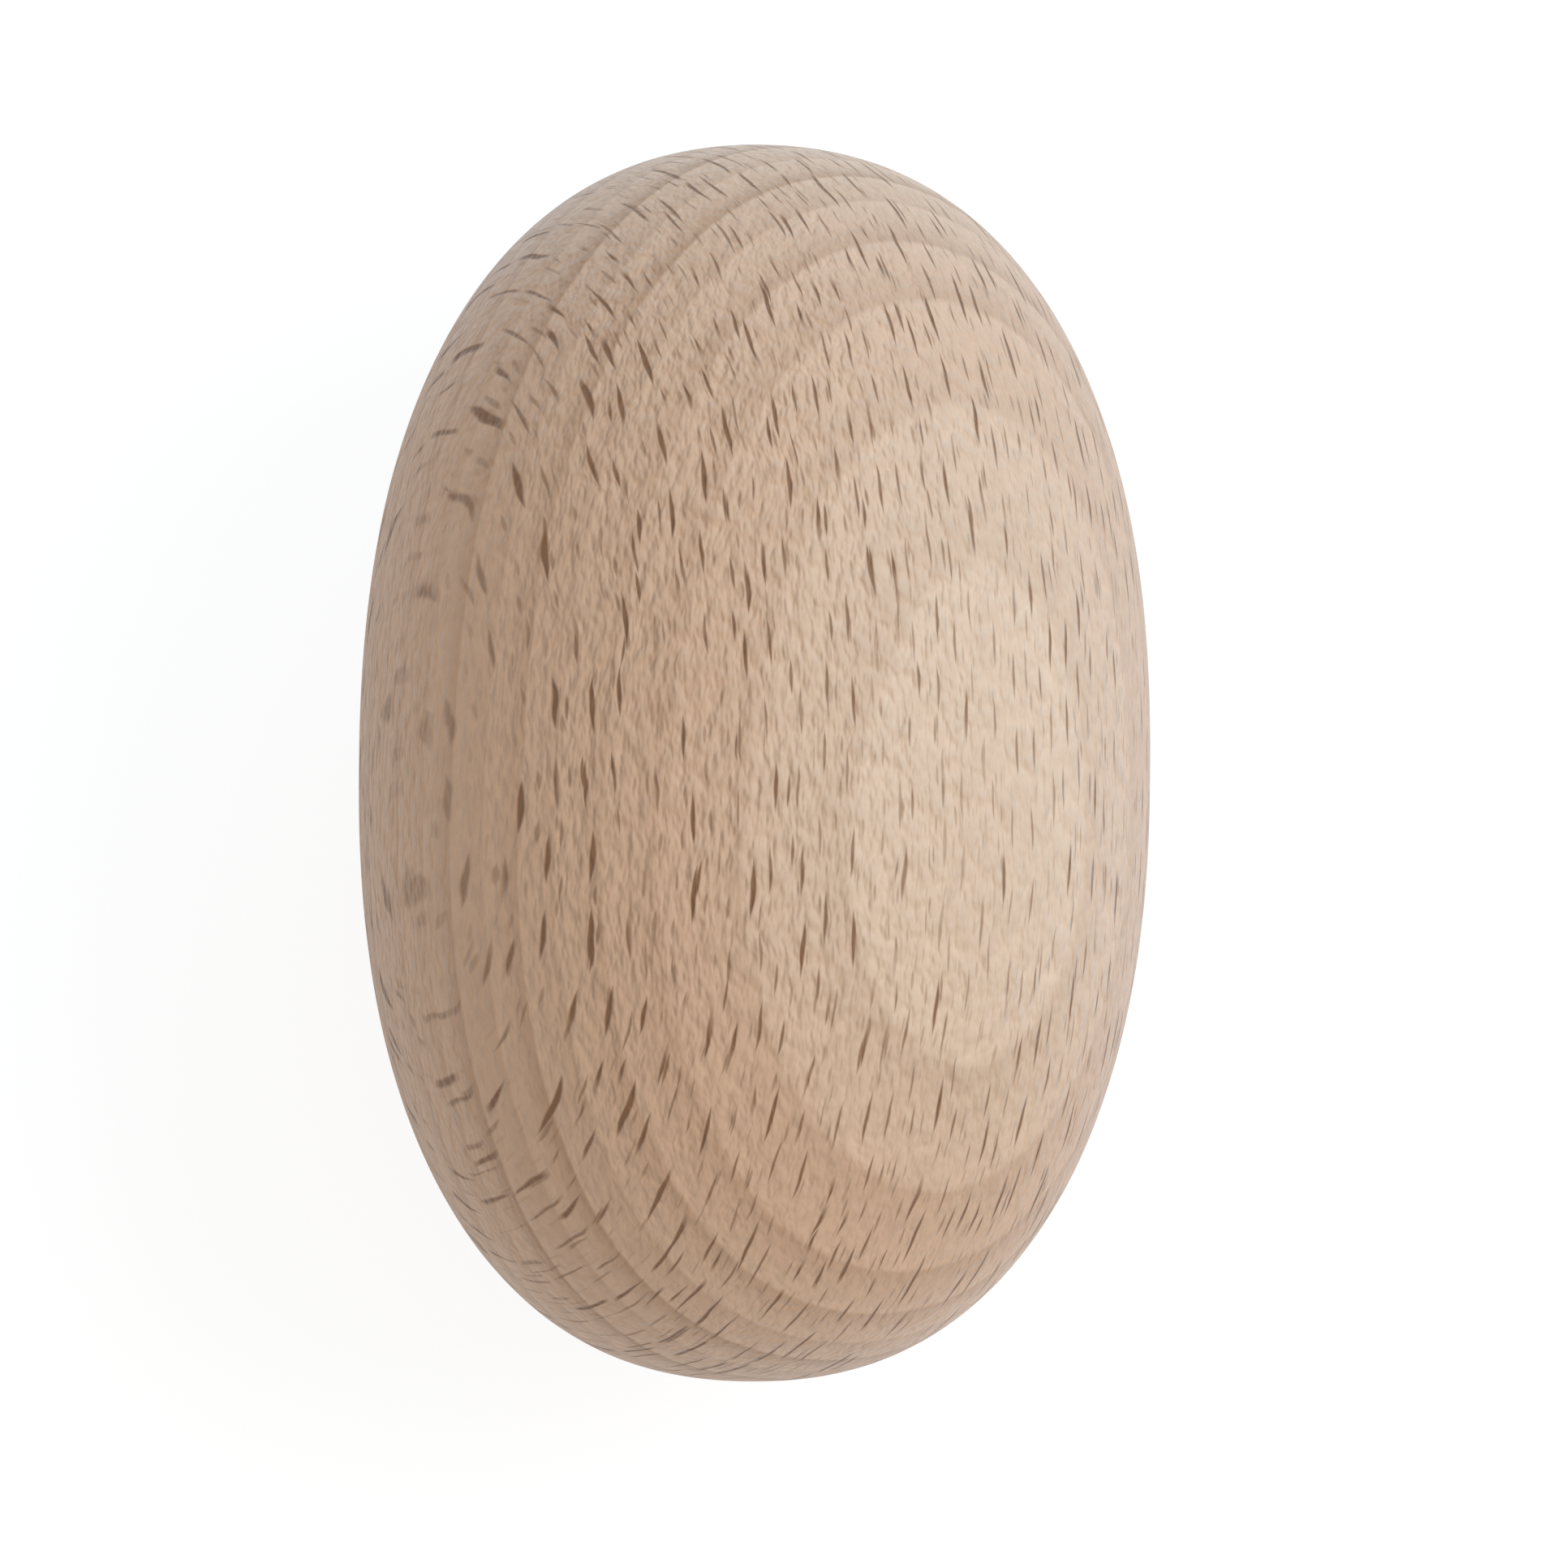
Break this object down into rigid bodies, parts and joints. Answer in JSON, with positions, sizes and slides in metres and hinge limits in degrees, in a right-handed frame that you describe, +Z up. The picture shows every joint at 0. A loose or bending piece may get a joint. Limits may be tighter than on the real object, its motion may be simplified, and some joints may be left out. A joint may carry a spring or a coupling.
{
  "type": "darning egg",
  "caption": "Smooth turned wooden egg, long and evenly rounded at both ends, held inside a sock to stretch the hole while it is darned.",
  "frame": {"origin": "the centre of the egg, on its turning axis, midway between its ends", "axes": "+Y along the turning axis, which is also the grain of the wood, +Z up with the egg lying on its side, +X across it; both ends are alike"},
  "size_m": [0.045, 0.0706, 0.045],
  "materials": {
    "beech": "sanded smooth, unvarnished, satin"
  },
  "bodies": {
    "root": {"egg_body": "beech"}
  },
  "joints": []
}
